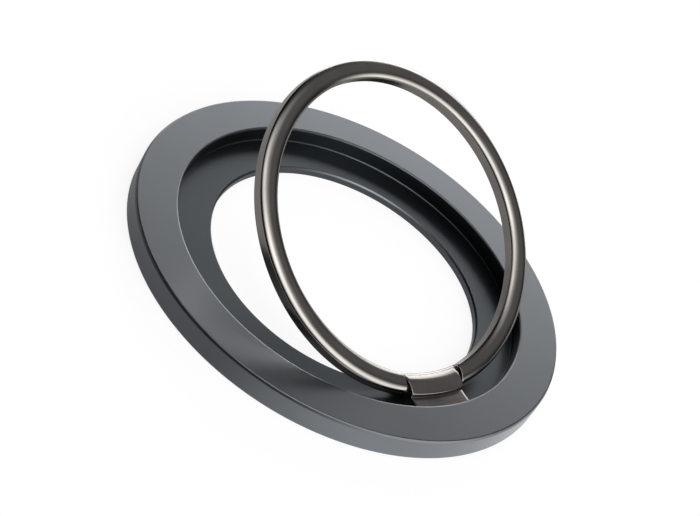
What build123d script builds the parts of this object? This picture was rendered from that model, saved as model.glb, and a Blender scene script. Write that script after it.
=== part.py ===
from build123d import *
import math
import os

# Phone ring holder: a flat magnetic mount with a dished face, a hinge block screwed to the
# floor of the dish, and an open ring that swings up from it. Sizes are in millimetres. The
# origin is the centre of the back face, +Z points away from the phone, and the hinge lies on
# the -Y side. The ring is drawn folded flat and then swung open to its angle at rest.

# Housing
BODY_DIAMETER = 57.0
BODY_HEIGHT = 3.05
BAND_WIDTH = 5.4
FLOOR_THICKNESS = 1.0
TOP_EDGE_CHAMFER = 0.22
BACK_EDGE_CHAMFER = 0.15
RIM_CHAMFER = 0.15
FLOOR_CORNER_BEVEL = 0.12
HOLE_CHAMFER = 0.2

# Magnet channel, open to the back and closed by the cover
CHANNEL_INNER_WALL = 0.8
CHANNEL_OUTER_WALL = 0.95
TOP_SKIN = 0.6
COVER_THICKNESS = 0.45
COVER_CLEARANCE = 0.04
YOKE_THICKNESS = 0.3
MAGNET_COUNT = 18
MAGNET_GAP = 0.25
MAGNET_CLEARANCE = 0.05

# Swing ring, folded flat in the recess. The hole in the floor lines up with its bore.
RING_TO_WALL = 2.68
RING_BAND_WIDTH = 2.42
RING_WALL_HEIGHT = 1.44
RING_CROWN = 0.36
RING_FACE_BEVEL = 0.15
RING_END_RADIUS = 0.08
RING_OVER_FLOOR = 0.45
RING_ANGLE_AT_REST = 30.3

# Hinge
AXIS_FROM_RING_BORE = 1.15
AXIS_OVER_RING_BACK = 0.63
PIN_DIAMETER = 0.7
PIN_REACH = 1.0
PIN_END_CLEARANCE = 0.06
PIN_RUNNING_CLEARANCE = 0.03
KNUCKLE_LENGTH = 8.12
KNUCKLE_FRONT = 1.1
KNUCKLE_REAR = 1.9
KNUCKLE_FRONT_RISE = 1.02
KNUCKLE_CROWN_RISE = 1.2
KNUCKLE_REAR_RISE = 0.5
KNUCKLE_REAR_SLOPE = 0.2
KNUCKLE_FRONT_RADIUS = 0.5
KNUCKLE_REAR_RADIUS = 0.2
FOOT_THICKNESS = 1.19
FOOT_WALL_CLEARANCE = 0.05
END_GAP = 0.36
WASHER_DIAMETER = 1.5
WASHER_CLEARANCE = 0.03

# Screws that hold the hinge block
SCREW_DIAMETER = 1.0
SCREW_HEAD_DIAMETER = 1.8
SCREW_HEAD_HEIGHT = 0.5
SCREW_HEAD_SINK = 0.05
SCREW_SPACING = 4.8
SCREW_FROM_FOOT_END = 1.1
SCREW_CLEARANCE = 0.03
SCREW_TIP_COVER = 0.3
SCREW_SOCKET_WIDTH = 0.7
SCREW_SOCKET_DEPTH = 0.3

# Places worked out from the sizes above
BODY_RADIUS = BODY_DIAMETER / 2
RECESS_RADIUS = BODY_RADIUS - BAND_WIDTH
CHANNEL_INNER = RECESS_RADIUS + CHANNEL_INNER_WALL
CHANNEL_OUTER = BODY_RADIUS - CHANNEL_OUTER_WALL
CHANNEL_TOP = BODY_HEIGHT - TOP_SKIN
YOKE_BOTTOM = CHANNEL_TOP - YOKE_THICKNESS
RING_OUTER = RECESS_RADIUS - RING_TO_WALL
RING_INNER = RING_OUTER - RING_BAND_WIDTH
HOLE_RADIUS = RING_INNER
RING_BACK = FLOOR_THICKNESS + RING_OVER_FLOOR
RING_SHOULDER = RING_BACK + RING_WALL_HEIGHT
AXIS_RADIUS = RING_INNER + AXIS_FROM_RING_BORE
AXIS_HEIGHT = RING_BACK + AXIS_OVER_RING_BACK
HINGE_AXIS = Axis((0, -AXIS_RADIUS, AXIS_HEIGHT), (1, 0, 0))
KNUCKLE_SIDE = KNUCKLE_LENGTH / 2
RING_END = KNUCKLE_SIDE + END_GAP
KNUCKLE_BACK = AXIS_RADIUS + KNUCKLE_REAR + KNUCKLE_REAR_SLOPE
FOOT_END = RECESS_RADIUS - FOOT_WALL_CLEARANCE
FOOT_TOP = FLOOR_THICKNESS + FOOT_THICKNESS
SCREW_RADIUS_OUT = FOOT_END - SCREW_FROM_FOOT_END
SCREW_TIP = FOOT_TOP - SCREW_TIP_COVER


def turned(outline):
    """A solid of revolution about the vertical axis, from a (radius, height) outline."""
    return revolve(Plane.XZ * outline, Axis.Z)


def band(inner, outer, bottom, top):
    """A plain ring of rectangular section."""
    corners = [(inner, bottom), (outer, bottom), (outer, top), (inner, top)]
    return turned(make_face(Polyline(*corners, close=True)))


def corner(face, point):
    """The corner of a flat outline that lies at a point."""
    near = 1e-3
    return face.vertices().filter_by(lambda v: math.dist((v.X, v.Y), point) < near)


def circles(shape, radius, height):
    """The round edges of a turned shape at one radius and height."""
    near = 1e-3
    return shape.edges().filter_by(
        lambda edge: edge.geom_type == GeomType.CIRCLE
        and abs(edge.radius - radius) < near
        and abs(edge.center().Z - height) < near
    )


def along_x(radius, length, middle=0.0):
    """A cylinder on the hinge axis, centred at a distance along it."""
    place = Pos(middle, -AXIS_RADIUS, AXIS_HEIGHT) * Rot(0, 90, 0)
    return place * Cylinder(radius, length)


def screw_place(side):
    """Where a screw's axis meets the back face; side is -1 or 1."""
    return Pos(side * SCREW_SPACING / 2, -SCREW_RADIUS_OUT, 0)


def screw_outline(clearance):
    """Half of a countersunk screw's section, grown all round by a clearance."""
    shank = SCREW_DIAMETER / 2 + clearance
    head = SCREW_HEAD_DIAMETER / 2 + clearance
    seat = SCREW_HEAD_SINK + SCREW_HEAD_HEIGHT
    corners = [(0, 0), (head, 0), (head, SCREW_HEAD_SINK), (shank, seat)]
    corners += [(shank, SCREW_TIP + clearance), (0, SCREW_TIP + clearance)]
    return make_face(Polyline(*corners, close=True))


def screw_space():
    """What a screw takes out of the floor and the foot."""
    return turned(screw_outline(SCREW_CLEARANCE))


def housing():
    """The turned body: outer band, dished recess, floor, hole and magnet channel."""
    corners = [
        (HOLE_RADIUS, 0),
        (BODY_RADIUS, 0),
        (BODY_RADIUS, BODY_HEIGHT),
        (RECESS_RADIUS, BODY_HEIGHT),
        (RECESS_RADIUS, FLOOR_THICKNESS),
        (HOLE_RADIUS, FLOOR_THICKNESS),
    ]
    shape = turned(make_face(Polyline(*corners, close=True)))
    shape = chamfer(circles(shape, BODY_RADIUS, BODY_HEIGHT), TOP_EDGE_CHAMFER)
    shape = chamfer(circles(shape, BODY_RADIUS, 0), BACK_EDGE_CHAMFER)
    shape = chamfer(circles(shape, RECESS_RADIUS, FLOOR_THICKNESS), FLOOR_CORNER_BEVEL)
    shape = chamfer(circles(shape, RECESS_RADIUS, BODY_HEIGHT), RIM_CHAMFER)
    shape = chamfer(circles(shape, HOLE_RADIUS, FLOOR_THICKNESS), HOLE_CHAMFER)
    shape -= band(CHANNEL_INNER, CHANNEL_OUTER, 0, CHANNEL_TOP)
    for side in (-1, 1):
        shape -= screw_place(side) * screw_space()
    return shape


def back_cover():
    """The flat ring that closes the magnet channel. It lies on the magnets, flush with the back."""
    inner = CHANNEL_INNER + COVER_CLEARANCE
    outer = CHANNEL_OUTER - COVER_CLEARANCE
    return band(inner, outer, 0, COVER_THICKNESS)


def yoke_ring():
    """The steel ring that closes the magnets' field on the side away from the phone."""
    inner = CHANNEL_INNER + MAGNET_CLEARANCE
    outer = CHANNEL_OUTER - MAGNET_CLEARANCE
    return band(inner, outer, YOKE_BOTTOM, CHANNEL_TOP)


def magnet(index):
    """One arc magnet, between the cover and the yoke."""
    inner = CHANNEL_INNER + MAGNET_CLEARANCE
    outer = CHANNEL_OUTER - MAGNET_CLEARANCE
    pitch = 360 / MAGNET_COUNT
    gap = math.degrees(MAGNET_GAP / ((inner + outer) / 2))
    corners = [(inner, COVER_THICKNESS), (outer, COVER_THICKNESS)]
    corners += [(outer, YOKE_BOTTOM), (inner, YOKE_BOTTOM)]
    section = Plane.XZ * make_face(Polyline(*corners, close=True))
    arc = revolve(section, Axis.Z, revolution_arc=pitch - gap)
    return Rot(0, 0, index * pitch) * arc


def hinge_block():
    """The domed knuckle and the foot behind it, one piece, curved like the recess wall."""
    front = AXIS_RADIUS - KNUCKLE_FRONT
    front_top = (front, AXIS_HEIGHT + KNUCKLE_FRONT_RISE)
    crown = (AXIS_RADIUS, AXIS_HEIGHT + KNUCKLE_CROWN_RISE)
    rear_top = (AXIS_RADIUS + KNUCKLE_REAR, AXIS_HEIGHT + KNUCKLE_REAR_RISE)
    heel = [(KNUCKLE_BACK, FOOT_TOP), (FOOT_END, FOOT_TOP)]
    heel += [(FOOT_END, FLOOR_THICKNESS + FLOOR_CORNER_BEVEL)]
    heel += [(FOOT_END - FLOOR_CORNER_BEVEL, FLOOR_THICKNESS), (front, FLOOR_THICKNESS)]
    outline = Curve() + ThreePointArc(front_top, crown, rear_top)
    outline += Polyline(rear_top, *heel, front_top)
    section = make_face(outline.edges())
    section = fillet(corner(section, front_top), KNUCKLE_FRONT_RADIUS)
    section = fillet(corner(section, rear_top), KNUCKLE_REAR_RADIUS)
    block = turned(section)
    block &= Pos(0, -RECESS_RADIUS, 0) * Box(KNUCKLE_LENGTH, 2 * RECESS_RADIUS, 4 * BODY_HEIGHT)
    block -= along_x(PIN_DIAMETER / 2, 2 * KNUCKLE_LENGTH)
    for side in (-1, 1):
        block -= screw_place(side) * screw_space()
    return block


def hinge_pin():
    """The cross pin: pressed in the knuckle, with both ends in the ring."""
    return along_x(PIN_DIAMETER / 2, 2 * (RING_END + PIN_REACH))


def friction_washer(side):
    """A washer on the pin, against the knuckle's side and just clear of the ring's end."""
    thickness = END_GAP - WASHER_CLEARANCE
    middle = side * (KNUCKLE_SIDE + thickness / 2)
    washer = along_x(WASHER_DIAMETER / 2, thickness, middle)
    return washer - along_x(PIN_DIAMETER / 2 + WASHER_CLEARANCE, 2 * thickness, middle)


def hinge_screw(side):
    """A countersunk screw from the back, with a six-sided socket."""
    head = SCREW_HEAD_DIAMETER / 2
    shank = SCREW_DIAMETER / 2
    seat = SCREW_HEAD_SINK + SCREW_HEAD_HEIGHT
    corners = [(0, SCREW_HEAD_SINK), (head, SCREW_HEAD_SINK), (shank, seat)]
    corners += [(shank, SCREW_TIP), (0, SCREW_TIP)]
    screw = turned(make_face(Polyline(*corners, close=True)))
    socket = RegularPolygon(SCREW_SOCKET_WIDTH / 2, 6, major_radius=False)
    screw -= Pos(0, 0, SCREW_HEAD_SINK) * extrude(socket, SCREW_SOCKET_DEPTH)
    return screw_place(side) * screw


def swing_ring():
    """The open ring with its crowned face, bored at both ends for the pin."""
    middle = (RING_INNER + RING_OUTER) / 2
    crown_in = (RING_INNER + RING_FACE_BEVEL, RING_SHOULDER)
    crown_out = (RING_OUTER - RING_FACE_BEVEL, RING_SHOULDER)
    crown_top = (middle, RING_SHOULDER + RING_CROWN)
    outline = Curve() + ThreePointArc(crown_in, crown_top, crown_out)
    outline += Polyline(
        crown_out,
        (RING_OUTER, RING_SHOULDER - RING_FACE_BEVEL),
        (RING_OUTER, RING_BACK),
        (RING_INNER, RING_BACK),
        (RING_INNER, RING_SHOULDER - RING_FACE_BEVEL),
        crown_in,
    )
    section = make_face(outline.edges())
    ring = turned(section)
    gap = Box(2 * RING_END, RING_OUTER, 4 * BODY_HEIGHT)
    ring -= Pos(0, -RING_OUTER, 0) * gap
    ends = ring.faces().filter_by(Axis.X)
    end_edges = [edge for face in ends for edge in face.outer_wire().edges()]
    ring = fillet(end_edges, RING_END_RADIUS)
    bore = PIN_DIAMETER / 2 + PIN_RUNNING_CLEARANCE
    ring -= along_x(bore, 2 * (RING_END + PIN_REACH + PIN_END_CLEARANCE))
    return ring.rotate(HINGE_AXIS, RING_ANGLE_AT_REST)


def pieces():
    """Every piece by the name of its file."""
    made = {
        "housing": housing(),
        "back_cover": back_cover(),
        "yoke_ring": yoke_ring(),
        "hinge_block": hinge_block(),
        "hinge_pin": hinge_pin(),
        "swing_ring": swing_ring(),
    }
    for side, name in ((-1, "left"), (1, "right")):
        made[f"friction_washer_{name}"] = friction_washer(side)
        made[f"hinge_screw_{name}"] = hinge_screw(side)
    for index in range(MAGNET_COUNT):
        made[f"magnet_{index + 1:02d}"] = magnet(index)
    return made


os.makedirs("parts", exist_ok=True)
for name, shape in pieces().items():
    export_step(shape, f"parts/{name}.step")
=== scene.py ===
import math

import bpy
import numpy as np
from mathutils import Matrix, Vector


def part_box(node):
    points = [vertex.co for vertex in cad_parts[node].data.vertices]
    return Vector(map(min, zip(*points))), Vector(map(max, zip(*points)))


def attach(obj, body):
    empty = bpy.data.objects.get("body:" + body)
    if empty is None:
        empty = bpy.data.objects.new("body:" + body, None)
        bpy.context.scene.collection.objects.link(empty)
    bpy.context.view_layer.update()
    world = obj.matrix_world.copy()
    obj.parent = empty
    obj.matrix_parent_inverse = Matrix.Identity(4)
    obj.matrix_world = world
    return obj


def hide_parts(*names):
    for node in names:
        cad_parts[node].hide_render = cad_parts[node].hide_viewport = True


# Phone ring holder, dressed over its solids. Everything is in metres, in the solids' own
# frame: the back face is at z = 0, and the hinge lies on the -Y side.

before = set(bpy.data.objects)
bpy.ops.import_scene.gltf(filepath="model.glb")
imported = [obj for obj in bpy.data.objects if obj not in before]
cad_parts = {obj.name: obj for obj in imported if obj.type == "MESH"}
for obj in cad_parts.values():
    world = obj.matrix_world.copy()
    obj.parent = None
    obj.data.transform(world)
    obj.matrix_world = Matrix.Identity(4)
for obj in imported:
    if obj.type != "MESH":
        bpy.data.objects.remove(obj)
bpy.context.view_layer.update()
MM = 0.001

# Sizes read from the solids
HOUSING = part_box("housing")
BODY_RADIUS = HOUSING[1].x
BODY_HEIGHT = HOUSING[1].z
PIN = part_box("hinge_pin")
AXIS_Y = (PIN[0].y + PIN[1].y) / 2
AXIS_Z = (PIN[0].z + PIN[1].z) / 2
PIN_RADIUS = (PIN[1].z - PIN[0].z) / 2
PIN_END = PIN[1].x
COVER_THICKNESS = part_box("back_cover")[1].z
COVER_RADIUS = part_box("back_cover")[1].x
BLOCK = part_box("hinge_block")
KNUCKLE_SIDE = BLOCK[1].x
FLOOR_TOP = BLOCK[0].z
KNUCKLE_FRONT = math.hypot(BLOCK[1].x, BLOCK[1].y)
FOOT_END = -BLOCK[0].y
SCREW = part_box("hinge_screw_right")
SCREW_X = (SCREW[0].x + SCREW[1].x) / 2
SCREW_Y = (SCREW[0].y + SCREW[1].y) / 2
SCREW_HEAD = (SCREW[1].x - SCREW[0].x) / 2

# Sizes that the solids' boxes don't give: first the housing, from the outside inwards
BACK_EDGE = 0.15 * MM
TOP_EDGE_WIDTH = 0.18 * MM
TOP_EDGE_DROP = 0.34 * MM
TOP_EDGE_ROUND = 0.14 * MM
RECESS_RADIUS = 23.1 * MM
RIM = 0.15 * MM
FLOOR_CORNER = 0.12 * MM
HOLE_RADIUS = 18.0 * MM
HOLE_EDGE = 0.2 * MM
CHANNEL_INNER = 23.9 * MM
CHANNEL_OUTER = 27.55 * MM
CHANNEL_TOP = 2.45 * MM
COVER_CLEARANCE = 0.04 * MM
COVER_ROUND = 0.05 * MM
SOFT_ROUND = 0.04 * MM
CRISP_ROUND = 0.02 * MM

# The swing ring, folded flat
RING_INNER = 18.0 * MM
RING_OUTER = 20.42 * MM
RING_BACK = 1.45 * MM
RING_SHOULDER = 2.89 * MM
RING_CROWN = 0.36 * MM
RING_FACE_BEVEL = 0.15 * MM
RING_ROUND = 0.1 * MM
RING_END = 4.42 * MM
RING_ANGLE = math.radians(30.3)

# The hinge block's side outline. Points are distances from the middle of the body, and heights.
KNUCKLE_FRONT_TOP = 3.04 * MM
KNUCKLE_FOREHEAD = (18.65 * MM, 3.179 * MM)
KNUCKLE_BROW = (19.25 * MM, 3.26 * MM)
KNUCKLE_NAPE = (20.3 * MM, 3.13 * MM)
KNUCKLE_REAR = 21.16 * MM
KNUCKLE_REAR_TOP = 2.68 * MM
FOOT_TOP = 2.19 * MM
FRONT_ROUND = 0.5 * MM
REAR_ROUND = 0.28 * MM
FOOT_ROUND = 0.05 * MM
HEEL_BEVEL = 0.12 * MM

# Screws, pin and end edges. The foot's side edges are rounded by only a share of the others' width.
SCREW_CLEARANCE = 0.03 * MM
SCREW_SINK = 0.05 * MM
SCREW_SEAT = 0.55 * MM
SCREW_SHANK = 0.5 * MM
PIN_CLEARANCE = 0.03 * MM
EDGE_BREAK = 0.08 * MM
FOOT_EDGE_SHARE = 0.3

# Where the photograph was taken from
CAMERA_TARGET = Vector((2.9, 2.83, 0.0)) * MM
CAMERA_DISTANCE = 239.7 * MM
CAMERA_AZIMUTH = math.radians(-142.9)
CAMERA_ELEVATION = math.radians(35.8)
CAMERA_ROLL = math.radians(32.54)
CAMERA_LENS = 98.76

# The white backdrop behind the object, as the object sees it, in degrees
BACKDROP_AZIMUTH = 45
BACKDROP_SIDES = (14, 32)
BACKDROP_TOP = (27, 34)
BACKDROP_STRENGTH = 3.7
# Soft lights in an arc over the camera's side: azimuth, elevation, the angle that each fades over,
# and its strength. They lie close enough together to make one even strip.
LIGHTS = (
    (-50, 5, 23, 2.5),
    (-68, 12, 26, 2.1),
    (-86, 22, 28, 2.2),
    (-102, 34, 28, 2.3),
    (-118, 50, 28, 2.4),
    (-140, 64, 28, 2.5),
    (-84, 63, 24, 0.8),
    (152, 71, 24, 2.2),
    (60, 84, 24, 0.7),
)
ROOM_CENTRE = (-10, 55)
ROOM_FADE = (15, 60)
ROOM_STRENGTH = 0.23

# The ground: how much of it is plain light, to the camera and to reflections, and how strong that is
GROUND_HALF = 2.0
GROUND_DROP = 0.02 * MM
CAMERA_SHARE = 0.75
CAMERA_STRENGTH = 1.1
MIRROR_SHARE = 0.6
MIRROR_STRENGTH = 0.35
# A painted pool of light on it in front of the hinge, seen in reflections, which shows in the near wall
PAINTED_POOL_CENTRE = (-4 * MM, -48 * MM)
PAINTED_POOL_FADE = (22 * MM, 46 * MM)
PAINTED_POOL_STRENGTH = 1.85

# How finely the pieces are drawn. A side longer than its two held ends allow gets two points that
# keep it flat.
ROUND_SEGMENTS = 720
RING_SEGMENTS = 660
BLOCK_SEGMENTS = 26
SMALL_SEGMENTS = 64
CROWN_POINTS = 21
HELD_END = 0.06 * MM
HELD_SHARE = 0.3
SHARP_ANGLE = math.radians(28)

# How far inside the recess its painted shade starts, and how far past its floor and wall it reaches
RECESS_SHADE_DEPTH = 0.1 * MM
FLOOR_MARGIN = 0.03 * MM
WALL_MARGIN = 0.2 * MM
# The range that most of a noise's values lie in
NOISE_MIDDLE = (0.3, 0.7)


def place_camera():
    """The camera at the photograph's angle, turned about its own axis by the roll."""
    level = math.cos(CAMERA_ELEVATION)
    back = Vector((
        level * math.cos(CAMERA_AZIMUTH),
        level * math.sin(CAMERA_AZIMUTH),
        math.sin(CAMERA_ELEVATION),
    ))
    right = Vector((0, 0, 1)).cross(back).normalized()
    turned = Matrix.Rotation(CAMERA_ROLL, 3, back) @ right
    up = back.cross(turned)
    data = bpy.data.cameras.new("photo_camera")
    data.lens = CAMERA_LENS
    data.clip_start = 10 * MM
    data.clip_end = 20
    camera = bpy.data.objects.new("photo_camera", data)
    bpy.context.scene.collection.objects.link(camera)
    axes = Matrix((turned, up, back)).transposed().to_4x4()
    camera.matrix_world = Matrix.Translation(CAMERA_TARGET + back * CAMERA_DISTANCE) @ axes
    bpy.context.scene.camera = camera


def outline(corners, radii, steps=5):
    """A closed outline with rounded corners. At a corner the arc of radius r starts r / tan(half the
    corner's angle) along both sides, about a centre r / sin(half the angle) along the bisector. A
    corner with no radius stays a point. Two points on each long straight run, close to its ends,
    keep the flat faces flat in shading."""
    corners = np.asarray(corners, float)
    before = np.roll(corners, 1, axis=0) - corners
    after = np.roll(corners, -1, axis=0) - corners
    before /= np.linalg.norm(before, axis=1, keepdims=True)
    after /= np.linalg.norm(after, axis=1, keepdims=True)
    half = np.arccos(np.clip((before * after).sum(axis=1), -1, 1)) / 2
    arcs = []
    for i, radius in enumerate(radii):
        if not radius:
            arcs.append(corners[i : i + 1])
            continue
        cut = radius / np.tan(half[i])
        bisector = (before[i] + after[i]) / np.linalg.norm(before[i] + after[i])
        centre = corners[i] + bisector * radius / np.sin(half[i])
        start = corners[i] + before[i] * cut - centre
        end = corners[i] + after[i] * cut - centre
        turn = np.pi - 2 * half[i]
        t = np.linspace(0, 1, steps)[:, None]
        arcs.append(centre + (np.sin((1 - t) * turn) * start + np.sin(t * turn) * end) / np.sin(turn))
    points = []
    for i, arc in enumerate(arcs):
        points.append(arc)
        run = arcs[(i + 1) % len(arcs)][0] - arc[-1]
        near = HELD_END / np.linalg.norm(run)
        if near < HELD_SHARE:
            points.append(arc[-1] + np.outer([near, 1 - near], run))
    return np.concatenate(points)


def arc_through(start, top, end, count):
    """Points of the circle through three points, evenly spaced by angle, without the first and last."""
    a, b, c = (np.asarray(p, float) for p in (start, top, end))
    sides = 2 * np.array([b - a, c - a])
    squares = np.array([b @ b - a @ a, c @ c - a @ a])
    centre = np.linalg.solve(sides, squares)
    angles = [np.arctan2(*(p - centre)[::-1]) for p in (a, c)]
    t = np.linspace(angles[0], angles[1], count + 2)[1:-1]
    return centre + np.linalg.norm(a - centre) * np.stack([np.cos(t), np.sin(t)], 1)


def loft(name, rows, closed):
    """A surface through closed sections: rows[i, j] is point j of section i, and each quad joins two
    neighbouring points of two neighbouring sections. A closed loft joins its last section to its
    first, and an open one has a face over each end."""
    count, points = rows.shape[:2]
    last = count if closed else count - 1
    i = np.arange(last)[:, None]
    j = np.arange(points)[None, :]
    following = (j + 1) % points
    onward = (i + 1) % count
    quads = np.stack(
        [i * points + j, onward * points + j, onward * points + following, i * points + following], -1
    ).reshape(-1, 4)
    faces = quads.tolist()
    if not closed:
        faces.append(list(range(points)))
        faces.append(list(range((count - 1) * points, count * points))[::-1])
    mesh = bpy.data.meshes.new(name)
    mesh.from_pydata(rows.reshape(-1, 3).tolist(), [], faces)
    mesh.shade_smooth()
    mesh.set_sharp_from_angle(angle=SHARP_ANGLE)
    piece = bpy.data.objects.new(name, mesh)
    bpy.context.scene.collection.objects.link(piece)
    return piece


def turned(name, profile):
    """A closed (radius, height) profile carried round Z: x = r cos a, y = r sin a, z = height."""
    a = np.linspace(0, 2 * np.pi, ROUND_SEGMENTS, endpoint=False)[:, None]
    r, z = profile[:, 0][None, :], profile[:, 1][None, :]
    rows = np.stack([r * np.cos(a), r * np.sin(a), z + 0 * a], -1)
    return loft(name, rows, closed=True)


def inset(profile, distance):
    """A profile moved inwards: each point goes along the mean of its two sides' inward normals."""
    side = np.roll(profile, -1, axis=0) - profile
    side /= np.linalg.norm(side, axis=1, keepdims=True)
    normal = np.stack([-side[:, 1], side[:, 0]], 1)
    mean = normal + np.roll(normal, 1, axis=0)
    mean /= np.linalg.norm(mean, axis=1, keepdims=True)
    return profile + distance * mean


def end_steps(count=5):
    """How far in from an end, and how far inside the outline, the rows of a rounded end edge lie:
    b (1 - sin a) and b (1 - cos a), for a from a right angle at the end down to zero."""
    a = np.linspace(np.pi / 2, 0, count)
    return list(zip(EDGE_BREAK * (1 - np.sin(a)), EDGE_BREAK * (1 - np.cos(a))))


def cut(piece, cutter):
    """Takes the cutter's space out of a piece, for good, and removes the cutter."""
    modifier = piece.modifiers.new("cut", "BOOLEAN")
    modifier.operation = "DIFFERENCE"
    modifier.solver = "EXACT"
    modifier.object = cutter
    graph = bpy.context.evaluated_depsgraph_get()
    mesh = bpy.data.meshes.new_from_object(piece.evaluated_get(graph))
    piece.modifiers.clear()
    piece.data = mesh
    mesh.set_sharp_from_angle(angle=SHARP_ANGLE)
    bpy.data.objects.remove(cutter)


def rod(name, radius, start, end):
    """A plain cylinder between two points: sections are circles square to the line between them."""
    start, end = np.asarray(start, float), np.asarray(end, float)
    along = (end - start) / np.linalg.norm(end - start)
    side = np.cross(along, [0, 1, 0] if abs(along[1]) < 0.9 else [1, 0, 0])
    side /= np.linalg.norm(side)
    other = np.cross(along, side)
    a = -np.linspace(0, 2 * np.pi, SMALL_SEGMENTS, endpoint=False)[:, None]
    circle = radius * (np.cos(a) * side + np.sin(a) * other)
    return loft(name, np.stack([circle + start, circle + end]), closed=False)


def screw_space(side):
    """The countersunk hole under one screw, reaching a little past the back face."""
    below = -0.5 * MM
    head = SCREW_HEAD + SCREW_CLEARANCE
    shank = SCREW_SHANK + SCREW_CLEARANCE
    profile = [(head, below), (head, SCREW_SINK), (shank, SCREW_SEAT), (shank, 2 * FLOOR_TOP)]
    a = -np.linspace(0, 2 * np.pi, SMALL_SEGMENTS, endpoint=False)[:, None]
    rows = [
        np.hstack([r * np.cos(a) + side * SCREW_X, r * np.sin(a) + SCREW_Y, z + 0 * a])
        for r, z in profile
    ]
    return loft("screw_space", np.stack(rows), closed=False)


def make_housing():
    """The turned body with its dish, floor, hole and magnet channel, and the screws' holes."""
    corners = [
        ((HOLE_RADIUS, 0), SOFT_ROUND),
        ((CHANNEL_INNER, 0), SOFT_ROUND),
        ((CHANNEL_INNER, CHANNEL_TOP), CRISP_ROUND),
        ((CHANNEL_OUTER, CHANNEL_TOP), CRISP_ROUND),
        ((CHANNEL_OUTER, 0), SOFT_ROUND),
        ((BODY_RADIUS - BACK_EDGE, 0), SOFT_ROUND),
        ((BODY_RADIUS, BACK_EDGE), SOFT_ROUND),
        ((BODY_RADIUS, BODY_HEIGHT - TOP_EDGE_DROP), TOP_EDGE_ROUND),
        ((BODY_RADIUS - TOP_EDGE_WIDTH, BODY_HEIGHT), TOP_EDGE_ROUND),
        ((RECESS_RADIUS + RIM, BODY_HEIGHT), 2 * RIM),
        ((RECESS_RADIUS, BODY_HEIGHT - RIM), SOFT_ROUND),
        ((RECESS_RADIUS, FLOOR_TOP + FLOOR_CORNER), CRISP_ROUND),
        ((RECESS_RADIUS - FLOOR_CORNER, FLOOR_TOP), CRISP_ROUND),
        ((HOLE_RADIUS + HOLE_EDGE, FLOOR_TOP), SOFT_ROUND),
        ((HOLE_RADIUS, FLOOR_TOP - HOLE_EDGE), SOFT_ROUND),
    ]
    points, radii = zip(*corners)
    piece = turned("housing_body", outline(points, radii))
    for side in (-1, 1):
        cut(piece, screw_space(side))
    return piece


def make_cover():
    """The flat ring that closes the magnet channel."""
    inner = CHANNEL_INNER + COVER_CLEARANCE
    corners = [(inner, 0), (COVER_RADIUS, 0), (COVER_RADIUS, COVER_THICKNESS), (inner, COVER_THICKNESS)]
    return turned("cover_ring", outline(corners, [COVER_ROUND] * 4))


def ring_profile():
    """The swing ring's section, folded flat: bevelled walls under a crowned face."""
    middle = (RING_INNER + RING_OUTER) / 2
    crown_in = (RING_INNER + RING_FACE_BEVEL, RING_SHOULDER)
    crown_out = (RING_OUTER - RING_FACE_BEVEL, RING_SHOULDER)
    crown = arc_through(crown_out, (middle, RING_SHOULDER + RING_CROWN), crown_in, CROWN_POINTS)
    corners = [
        (RING_INNER, RING_BACK),
        (RING_OUTER, RING_BACK),
        (RING_OUTER, RING_SHOULDER - RING_FACE_BEVEL),
        crown_out,
        *crown,
        crown_in,
        (RING_INNER, RING_SHOULDER - RING_FACE_BEVEL),
    ]
    radii = [RING_ROUND] * 3 + [0.0] * (len(crown) + 2) + [RING_ROUND]
    return outline(corners, radii, steps=4)


def make_ring():
    """The open ring. A profile point of radius r runs round from the angle where it meets the first
    end plane, asin(e / r) past the hinge, to the same angle before it. The two ends are parallel
    planes at x = -e and e, with rounded edges. The whole is then swung open about the hinge."""
    profile = ring_profile()
    steps = end_steps()
    stations = [(RING_END + inward, inside, 0.0) for inward, inside in steps]
    full = RING_END + EDGE_BREAK
    stations += [(full, 0.0, t) for t in np.linspace(0, 1, RING_SEGMENTS)[1:-1]]
    stations += [(RING_END + inward, inside, 1.0) for inward, inside in steps[::-1]]
    rows = []
    for reach, inside, t in stations:
        section = inset(profile, inside)
        r, z = section[:, 0], section[:, 1]
        first = np.arcsin(reach / r)
        a = -np.pi / 2 + first + t * (2 * np.pi - 2 * first)
        rows.append(np.stack([r * np.cos(a), r * np.sin(a), z], 1))
    rows = np.stack(rows)
    y, z = rows[..., 1] - AXIS_Y, rows[..., 2] - AXIS_Z
    c, s = math.cos(RING_ANGLE), math.sin(RING_ANGLE)
    rows[..., 1], rows[..., 2] = AXIS_Y + c * y - s * z, AXIS_Z + s * y + c * z
    piece = loft("finger_ring", rows, closed=False)
    reach = PIN_END + 2 * PIN_CLEARANCE
    ends = [(side * reach, AXIS_Y, AXIS_Z) for side in (-1, 1)]
    cut(piece, rod("bore", PIN_RADIUS + PIN_CLEARANCE, *ends))
    return piece


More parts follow.
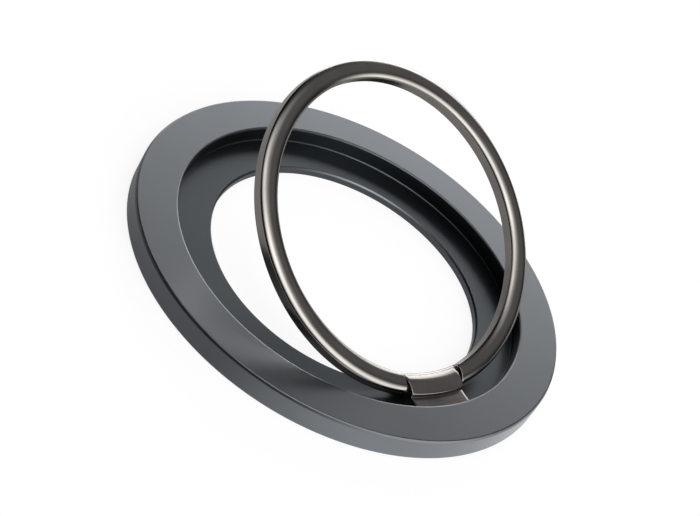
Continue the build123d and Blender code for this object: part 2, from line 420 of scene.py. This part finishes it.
def block_profile():
    """The hinge block's side outline, as distance from the middle of the body and height."""
    front_top = (KNUCKLE_FRONT, KNUCKLE_FRONT_TOP)
    rear_top = (KNUCKLE_REAR, KNUCKLE_REAR_TOP)
    rear_half = arc_through(rear_top, KNUCKLE_NAPE, KNUCKLE_BROW, CROWN_POINTS)
    front_half = arc_through(KNUCKLE_BROW, KNUCKLE_FOREHEAD, front_top, CROWN_POINTS)
    # The rounded edges take the two ends of the crown, so its points there are left out.
    first, last = KNUCKLE_FRONT + FRONT_ROUND, KNUCKLE_REAR - REAR_ROUND
    crown = [point for point in [*rear_half, KNUCKLE_BROW, *front_half] if first < point[0] < last]
    corners = [
        (KNUCKLE_FRONT, FLOOR_TOP),
        (FOOT_END - HEEL_BEVEL, FLOOR_TOP),
        (FOOT_END, FLOOR_TOP + HEEL_BEVEL),
        (FOOT_END, FOOT_TOP),
        (KNUCKLE_REAR, FOOT_TOP),
        rear_top,
        *crown,
        front_top,
    ]
    radii = [FOOT_ROUND] * 5 + [REAR_ROUND] + [0.0] * len(crown) + [FRONT_ROUND]
    return outline(corners, radii, steps=9)


def make_block():
    """The knuckle and foot: the side outline carried round Z and cut by two planes square to X, with
    rounded side edges. A point of radius r lies at y = -sqrt(r squared - x squared)."""
    profile = block_profile()
    share = np.where(profile[:, 0] > KNUCKLE_REAR, FOOT_EDGE_SHARE, 1.0)
    steps = end_steps()
    half = KNUCKLE_SIDE
    stations = [(-half + inward * share, inside * share) for inward, inside in steps]
    middles = np.linspace(-half + EDGE_BREAK, half - EDGE_BREAK, BLOCK_SEGMENTS)[1:-1]
    stations += [(x + 0 * share, 0 * share) for x in middles]
    stations += [(half - inward * share, inside * share) for inward, inside in steps[::-1]]
    rows = []
    for x, inside in stations:
        section = inset(profile, inside[:, None])
        r, z = section[:, 0], section[:, 1]
        rows.append(np.stack([x, -np.sqrt(r ** 2 - x ** 2), z], 1))
    return loft("knuckle_block", np.stack(rows), closed=False)


class Value:
    """A node's output that can stand in a sum. Each operator adds one Math node to its tree."""

    def __init__(self, tree, socket):
        self.tree = tree
        self.socket = socket

    def math(self, operation, *others):
        inputs = dict(enumerate([self, *others]))
        return self.tree.node("ShaderNodeMath", {"operation": operation}, inputs)

    def __add__(self, other):
        return self.math("ADD", other)

    def __sub__(self, other):
        return self.math("SUBTRACT", other)

    def __mul__(self, other):
        return self.math("MULTIPLY", other)

    def __truediv__(self, other):
        return self.math("DIVIDE", other)


class Nodes:
    """A node tree that is filled through one method."""

    def __init__(self, owner):
        owner.use_nodes = True
        self.owner = owner
        self.tree = owner.node_tree
        self.tree.nodes.clear()

    def node(self, kind, settings=None, inputs=None, output=0):
        """Adds a node of a kind: first its settings, then its sockets' values or links."""
        made = self.tree.nodes.new(kind)
        for key, value in (settings or {}).items():
            setattr(made, key, value)
        for key, value in (inputs or {}).items():
            if isinstance(value, Value):
                self.tree.links.new(value.socket, made.inputs[key])
            else:
                made.inputs[key].default_value = value
        return Value(self, made.outputs[output]) if made.outputs else made

    def parts(self, vector):
        """The three numbers of a vector."""
        return [self.node("ShaderNodeSeparateXYZ", inputs={0: vector}, output=i) for i in range(3)]

    def join(self, x, y, z):
        """A vector from three numbers."""
        return self.node("ShaderNodeCombineXYZ", inputs={0: x, 1: y, 2: z})

    def noise(self, vector, scale, detail=2.0, roughness=0.5):
        """Noise from 0 to 1 over a vector."""
        return self.node(
            "ShaderNodeTexNoise",
            inputs={"Vector": vector, "Scale": scale, "Detail": detail, "Roughness": roughness},
        )

    def blend(self, factor, low, high):
        """A colour between two plain ones, by a factor."""
        return self.mix(factor, (*low, 1), (*high, 1))

    def mix(self, factor, first, second):
        """One of two values or linked colours, or a blend, by a factor."""
        inputs = {0: factor, 6: first, 7: second}
        return self.node("ShaderNodeMix", {"data_type": "RGBA"}, inputs, output=2)

    def spread(self, value, to_low=0, to_high=1):
        """The middle part of a noise's values stretched to a range, clamped at its ends."""
        low, high = NOISE_MIDDLE
        return self.node(
            "ShaderNodeMapRange", inputs={0: value, 1: low, 2: high, 3: to_low, 4: to_high}
        )

    def fade(self, value, low, high):
        """A smooth step: 1 below the low end of a range, 0 above its high end."""
        return self.node(
            "ShaderNodeMapRange",
            {"interpolation_type": "SMOOTHSTEP"},
            {0: value, 1: low, 2: high, 3: 1.0, 4: 0.0},
        )

    def angle_to(self, vector, azimuth, elevation):
        """The angle in degrees between a vector of length one and a direction given in degrees."""
        a, e = math.radians(azimuth), math.radians(elevation)
        towards = (math.cos(e) * math.cos(a), math.cos(e) * math.sin(a), math.sin(e))
        cosine = self.node(
            "ShaderNodeVectorMath", {"operation": "DOT_PRODUCT"}, {0: vector, 1: towards}, output=1
        )
        return cosine.math("ARCCOSINE") * math.degrees(1)

    def bump(self, height, distance, strength=1.0):
        """A normal from a height field."""
        return self.node(
            "ShaderNodeBump", inputs={"Height": height, "Distance": distance, "Strength": strength}
        )

    def surface(self, **sockets):
        """The finished surface, from the main shader's sockets, named with _ for a space."""
        inputs = {key.replace("_", " "): value for key, value in sockets.items()}
        shader = self.node("ShaderNodeBsdfPrincipled", inputs=inputs)
        self.node("ShaderNodeOutputMaterial", inputs={"Surface": shader})
        return self.owner


def finish(name):
    """An empty material with the place on the piece as its starting vector."""
    nodes = Nodes(bpy.data.materials.new(name))
    place = nodes.node("ShaderNodeTexCoord", output=3)
    return nodes, place


def anodised(name):
    """Bead-blasted aluminium under dark blue-grey anodising: fine grain, faint clouding. Inside the
    recess the colour is darker, as painted shade."""
    nodes, place = finish(name)
    x, y, z = nodes.parts(place)
    radius = (x * x + y * y).math("SQRT")
    # The mask of the recess, where the colour is darkened as painted shade
    below = z.math("LESS_THAN", BODY_HEIGHT - RECESS_SHADE_DEPTH)
    above = z.math("GREATER_THAN", FLOOR_TOP - FLOOR_MARGIN)
    inside = below * above * radius.math("LESS_THAN", RECESS_RADIUS + WALL_MARGIN)
    grain = nodes.noise(place, 9000, 3)
    cloud = nodes.noise(place, 90, 2)
    mottle = nodes.spread(cloud * 0.6 + grain * 0.4)
    face = nodes.blend(mottle, (0.138, 0.148, 0.159), (0.154, 0.165, 0.178))
    # Painted shade: a darker copy of the face's colour, used inside the recess
    recess_shade = nodes.blend(mottle, (0.06, 0.068, 0.073), (0.069, 0.078, 0.084))
    colour = nodes.mix(inside, face, recess_shade)
    return nodes.surface(
        Base_Color=colour,
        Metallic=1.0,
        Roughness=nodes.spread(grain, 0.32, 0.36),
        Normal=nodes.bump(grain, 0.002 * MM, 0.3),
    )


def gunmetal(name, swung):
    """Dark plated steel, semi-polished, with fine lines along the ring. On the ring the place is
    first turned back about the hinge, so that the lines follow its circle."""
    nodes, place = finish(name)
    if swung:
        back = Matrix.Rotation(-RING_ANGLE, 3, "X")
        hinge = Vector((0, AXIS_Y, AXIS_Z))
        shift = hinge - back @ hinge
        place = nodes.node(
            "ShaderNodeMapping",
            {"vector_type": "POINT"},
            {"Vector": place, "Location": shift, "Rotation": (-RING_ANGLE, 0, 0)},
        )
    x, y, z = nodes.parts(place)
    radius = (x * x + y * y).math("SQRT")
    lines = nodes.join(x / radius * 6, y / radius * 6, radius * 26000 + z * 17000)
    brushed = nodes.noise(lines, 1.0, 2)
    cloud = nodes.noise(place, 260, 2)
    patches = nodes.spread(cloud)
    colour = nodes.blend(patches, (0.258, 0.243, 0.227), (0.308, 0.291, 0.272))
    return nodes.surface(
        Base_Color=colour,
        Metallic=1.0,
        Roughness=nodes.spread(brushed * 0.7 + cloud * 0.3, 0.13, 0.2),
        Normal=nodes.bump(brushed, 0.001 * MM, 0.4),
    )


def plain_metal(name, low, high, roughness, grain_scale):
    """A small steel part's finish: two close colours and a fine turned grain."""
    nodes, place = finish(name)
    grain = nodes.noise(place, grain_scale, 2)
    return nodes.surface(
        Base_Color=nodes.blend(nodes.spread(grain), low, high),
        Metallic=1.0,
        Roughness=nodes.spread(grain, roughness - 0.05, roughness + 0.05),
        Normal=nodes.bump(grain, 0.002 * MM, 0.4),
    )


def plain_plastic(name, low, high, roughness, grain_scale):
    """A moulded plastic finish: two close colours and a fine spark-eroded grain."""
    nodes, place = finish(name)
    grain = nodes.noise(place, grain_scale, 3)
    return nodes.surface(
        Base_Color=nodes.blend(nodes.spread(grain), low, high),
        Roughness=nodes.spread(grain, roughness - 0.06, roughness + 0.06),
        Normal=nodes.bump(grain, 0.01 * MM, 0.5),
    )


def white_floor():
    """The ground, a hair below the back face: its own colour is near white, and to the camera and to
    reflections part of what it shows is plain light, white to the camera, with the rest lit, so that
    the object's shadow stays. In reflections that plain light is dim, with a painted pool of light in
    front of the hinge. From below it is clear, so that the back of the object can be seen."""
    data = bpy.data.meshes.new("ground")
    half, z = GROUND_HALF, -GROUND_DROP
    corners = [(-half, -half, z), (half, -half, z), (half, half, z), (-half, half, z)]
    data.from_pydata(corners, [], [(0, 1, 2, 3)])
    floor = bpy.data.objects.new("ground", data)
    bpy.context.scene.collection.objects.link(floor)
    nodes = Nodes(bpy.data.materials.new("ground_white"))
    camera, glossy, glass = (nodes.node("ShaderNodeLightPath", output=index) for index in (0, 3, 6))
    x, y, _ = nodes.parts(nodes.node("ShaderNodeTexCoord", output=3))
    # Painted pool of light: a brighter glow in front of the hinge, shown only in reflections
    across, along = x - PAINTED_POOL_CENTRE[0], y - PAINTED_POOL_CENTRE[1]
    painted_pool_mask = nodes.fade((across * across + along * along).math("SQRT"), *PAINTED_POOL_FADE)
    seen, dim, painted_pool_glow = (
        nodes.node("ShaderNodeEmission", inputs={"Color": (1, 1, 1, 1), "Strength": strength})
        for strength in (CAMERA_STRENGTH, MIRROR_STRENGTH, PAINTED_POOL_STRENGTH)
    )
    mirrored = nodes.node("ShaderNodeMixShader", inputs={0: painted_pool_mask, 1: dim, 2: painted_pool_glow})
    plain = nodes.node("ShaderNodeMixShader", inputs={0: camera, 1: mirrored, 2: seen})
    shown = (camera * CAMERA_SHARE).math("MAXIMUM", glossy.math("MAXIMUM", glass) * MIRROR_SHARE)
    lit = nodes.node("ShaderNodeBsdfDiffuse", inputs={"Color": (0.9, 0.9, 0.9, 1)})
    both = nodes.node("ShaderNodeMixShader", inputs={0: shown, 1: lit, 2: plain})
    below = nodes.node("ShaderNodeNewGeometry", output=6)
    clear = nodes.node("ShaderNodeBsdfTransparent", inputs={"Color": (1, 1, 1, 1)})
    one_sided = nodes.node("ShaderNodeMixShader", inputs={0: below, 1: both, 2: clear})
    nodes.node("ShaderNodeOutputMaterial", inputs={"Surface": one_sided})
    data.materials.append(nodes.owner)


def studio():
    """The dim room with its lights, by the direction that they are seen in: a white backdrop that
    ends at a soft upper edge, and soft round lights in an arc over the camera's side. The camera
    itself sees plain white wherever the room is darker than that."""
    world = bpy.data.worlds.new("studio")
    bpy.context.scene.world = world
    nodes = Nodes(world)
    direction = nodes.node("ShaderNodeTexCoord", output=0)
    x, y, z = nodes.parts(direction)
    elevation = z.math("ARCSINE") * math.degrees(1)
    level = (x * x + y * y).math("SQRT")
    flat = nodes.join(x / level, y / level, 0.0)
    aside = nodes.angle_to(flat, BACKDROP_AZIMUTH, 0)
    backdrop = nodes.fade(aside, *BACKDROP_SIDES) * nodes.fade(elevation, *BACKDROP_TOP)
    light = backdrop * BACKDROP_STRENGTH
    for azimuth, height, reach, strength in LIGHTS:
        light = light + nodes.fade(nodes.angle_to(direction, azimuth, height), 0, reach) * strength
    light = light + nodes.fade(nodes.angle_to(direction, *ROOM_CENTRE), *ROOM_FADE) * ROOM_STRENGTH
    shown = light.math("MAXIMUM", nodes.node("ShaderNodeLightPath", output=0))
    sky = nodes.node("ShaderNodeBackground", inputs={"Color": (1, 1, 1, 1), "Strength": shown})
    nodes.node("ShaderNodeOutputWorld", inputs={"Surface": sky})


def dress(piece, node, body, material):
    """A piece that stands for a solid: it rides on the solid's body and takes its slot."""
    piece.data.materials.clear()
    piece.data.materials.append(material)
    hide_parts(node)
    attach(piece, body)


def paint(node, material):
    """A solid that stays gets its finish."""
    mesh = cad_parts[node].data
    mesh.materials.clear()
    mesh.materials.append(material)


place_camera()
cover_finish = plain_plastic("cover_black", (0.02, 0.02, 0.022), (0.035, 0.035, 0.038), 0.6, 12000)
dress(make_housing(), "housing", "base", anodised("anodised_grey"))
dress(make_cover(), "back_cover", "base", cover_finish)
dress(make_block(), "hinge_block", "base", gunmetal("block_gunmetal", False))
dress(make_ring(), "swing_ring", "ring", gunmetal("ring_gunmetal", True))
pin_finish = plain_metal("pin_ground", (0.5, 0.5, 0.5), (0.62, 0.62, 0.61), 0.25, 20000)
screw_finish = plain_metal("screw_black", (0.06, 0.06, 0.065), (0.1, 0.1, 0.105), 0.38, 16000)
magnet_finish = plain_metal("magnet_nickel", (0.55, 0.54, 0.5), (0.66, 0.65, 0.61), 0.3, 6000)
yoke_finish = plain_metal("yoke_steel", (0.4, 0.4, 0.39), (0.5, 0.5, 0.48), 0.4, 5000)
washer_finish = plain_plastic("washer_dark", (0.012, 0.012, 0.012), (0.025, 0.025, 0.025), 0.45, 20000)
for cad_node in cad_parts:
    if cad_node.startswith("magnet_"):
        paint(cad_node, magnet_finish)
    if cad_node.startswith("friction_washer"):
        paint(cad_node, washer_finish)
    if cad_node.startswith("hinge_screw"):
        paint(cad_node, screw_finish)
paint("yoke_ring", yoke_finish)
paint("hinge_pin", pin_finish)
white_floor()
studio()
bpy.context.scene.view_settings.view_transform = "Standard"
